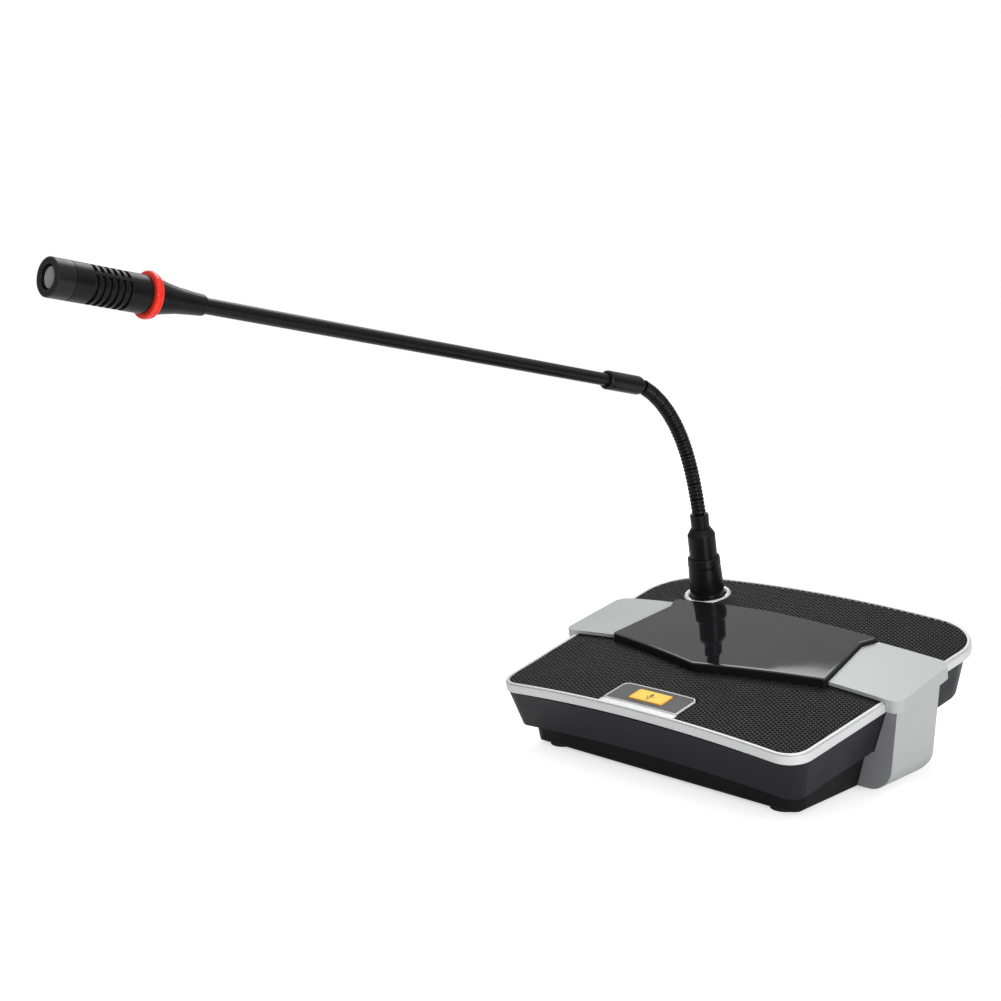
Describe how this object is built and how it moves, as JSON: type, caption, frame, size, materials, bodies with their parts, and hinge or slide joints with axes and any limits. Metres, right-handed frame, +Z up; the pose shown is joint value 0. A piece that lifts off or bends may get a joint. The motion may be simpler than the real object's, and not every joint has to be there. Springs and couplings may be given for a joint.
{
  "type": "gooseneck podium microphone",
  "caption": "Desktop conference microphone: sloping grille-topped base with a lit talk button and a plug-in bendable neck, slender stem and slotted head.",
  "frame": {"origin": "centre of the base's footprint, on the plane its rubber feet stand on", "axes": "+Z up, -Y towards the person speaking (the head points that way), +X towards the side of the base away from the neck socket"},
  "size_m": [0.2084, 0.4322, 0.2548],
  "materials": {
    "black_moulding": "fine-textured near-black moulding",
    "grey_moulding": "satin dark grey coating",
    "silver_trim": "satin silver paint",
    "black_mesh": "black coated sheet with close-set holes",
    "gloss_black": "high gloss",
    "soft_rubber": "matt",
    "steel": "bright zinc",
    "dark_screw": "blackened",
    "grey_plate": "satin",
    "light_trim": "satin",
    "amber_lens": "lit amber, satin",
    "orange_edge": "satin",
    "black_nylon": "semi-matt",
    "circuit_board": "green solder mask",
    "brass": "plain",
    "contact_gold": "gold plated",
    "bright_ring": "bright nickel",
    "pin_silver": "silver plated",
    "black_metal": "satin black coating",
    "red_lens": "translucent red",
    "cap_metal": "satin dark grey",
    "capsule_metal": "fine satin",
    "black_cloth": "fine acoustic cloth",
    "wire_red": "insulation"
  },
  "bodies": {
    "base": {"bottom_cover": "black_moulding", "rubber_feet": "soft_rubber", "bottom_screws": "dark_screw", "ballast_plate": "steel", "upper_housing": "grey_moulding", "top_frame": "silver_trim", "front_grille": "black_mesh", "rear_grille": "black_mesh", "left_side_cover": "silver_trim", "right_side_cover": "silver_trim", "gloss_panel": "gloss_black", "button_bezel": "light_trim", "button_plate": "grey_plate", "button_halo": "orange_edge", "tact_switch": "black_nylon", "control_board": "circuit_board", "main_board": "circuit_board", "board_pillars": "brass", "socket_ring": "bright_ring", "base_socket": "black_nylon", "socket_contacts": "contact_gold", "outlet_flange": "black_metal", "outlet_insert": "black_nylon", "outlet_pins": "pin_silver", "outlet_screws": "dark_screw", "wire_loom": "wire_red"},
    "button": {"talk_button": "amber_lens"},
    "plug": {"plug_shell": "black_metal", "plug_insert": "black_nylon", "plug_pins": "pin_silver", "plug_body": "black_metal", "neck_sleeve": "black_metal"},
    "link_01": {"neck_link_01": "black_metal"},
    "link_02": {"neck_link_02": "black_metal"},
    "link_03": {"neck_link_03": "black_metal"},
    "link_04": {"neck_link_04": "black_metal"},
    "link_05": {"neck_link_05": "black_metal"},
    "link_06": {"neck_link_06": "black_metal"},
    "link_07": {"neck_link_07": "black_metal"},
    "link_08": {"neck_link_08": "black_metal"},
    "link_09": {"neck_link_09": "black_metal"},
    "link_10": {"neck_link_10": "black_metal"},
    "microphone_head": {"neck_collar": "black_metal", "stem_tube": "black_metal", "head_cone": "black_metal", "light_ring": "red_lens", "ring_light_board": "circuit_board", "head_barrel": "black_metal", "head_lining": "black_cloth", "front_cap": "cap_metal", "capsule": "capsule_metal", "capsule_gasket": "soft_rubber", "capsule_screen": "capsule_metal"}
  },
  "joints": [
    {"name": "talk_button_press", "type": "slide", "parent": "base", "child": "button", "axis": [0, 0.1994, -0.9799], "range_m": [0, 0.001], "stiffness_N_per_m": 1500, "springref_m": -0.0008},
    {"name": "plug_pull_out", "type": "slide", "parent": "base", "child": "plug", "axis": [0, -0.1994, 0.9799], "range_m": [0, 0.03]},
    {"name": "neck_bend_1", "type": "hinge", "parent": "plug", "child": "link_01", "pos_m": [-0.056, 0.04518, 0.11296], "axis": [1, 0, 0], "range_deg": [-10, 5]},
    {"name": "neck_sway_1", "type": "hinge", "parent": "link_01", "child": "link_02", "pos_m": [-0.056, 0.04263, 0.12195], "axis": [0, 0.9571, 0.2896], "range_deg": [-7, 7]},
    {"name": "neck_bend_2", "type": "hinge", "parent": "link_02", "child": "link_03", "pos_m": [-0.056, 0.03977, 0.13084], "axis": [1, 0, 0], "range_deg": [-10, 5]},
    {"name": "neck_sway_2", "type": "hinge", "parent": "link_03", "child": "link_04", "pos_m": [-0.056, 0.03642, 0.13956], "axis": [0, 0.9206, 0.3905], "range_deg": [-7, 7]},
    {"name": "neck_bend_3", "type": "hinge", "parent": "link_04", "child": "link_05", "pos_m": [-0.056, 0.03248, 0.14802], "axis": [1, 0, 0], "range_deg": [-10, 5]},
    {"name": "neck_sway_3", "type": "hinge", "parent": "link_05", "child": "link_06", "pos_m": [-0.056, 0.02784, 0.15613], "axis": [0, 0.8432, 0.5376], "range_deg": [-7, 7]},
    {"name": "neck_bend_4", "type": "hinge", "parent": "link_06", "child": "link_07", "pos_m": [-0.056, 0.02245, 0.16376], "axis": [1, 0, 0], "range_deg": [-10, 5]},
    {"name": "neck_sway_4", "type": "hinge", "parent": "link_07", "child": "link_08", "pos_m": [-0.056, 0.01627, 0.17076], "axis": [0, 0.7101, 0.7041], "range_deg": [-7, 7]},
    {"name": "neck_bend_5", "type": "hinge", "parent": "link_08", "child": "link_09", "pos_m": [-0.056, 0.00932, 0.177], "axis": [1, 0, 0], "range_deg": [-10, 5]},
    {"name": "neck_sway_5", "type": "hinge", "parent": "link_09", "child": "link_10", "pos_m": [-0.056, 0.00163, 0.1823], "axis": [0, 0.5097, 0.8603], "range_deg": [-7, 7]},
    {"name": "neck_bend_6", "type": "hinge", "parent": "link_10", "child": "microphone_head", "pos_m": [-0.056, -0.00672, 0.1865], "axis": [1, 0, 0], "range_deg": [-10, 5]}
  ],
  "couplings": [
    {"joint": "neck_bend_2", "follows": "neck_bend_1", "ratio": 1},
    {"joint": "neck_sway_2", "follows": "neck_sway_1", "ratio": 1},
    {"joint": "neck_bend_3", "follows": "neck_bend_1", "ratio": 1},
    {"joint": "neck_sway_3", "follows": "neck_sway_1", "ratio": 1},
    {"joint": "neck_bend_4", "follows": "neck_bend_1", "ratio": 1},
    {"joint": "neck_sway_4", "follows": "neck_sway_1", "ratio": 1},
    {"joint": "neck_bend_5", "follows": "neck_bend_1", "ratio": 1},
    {"joint": "neck_sway_5", "follows": "neck_sway_1", "ratio": 1},
    {"joint": "neck_bend_6", "follows": "neck_bend_1", "ratio": 1}
  ]
}
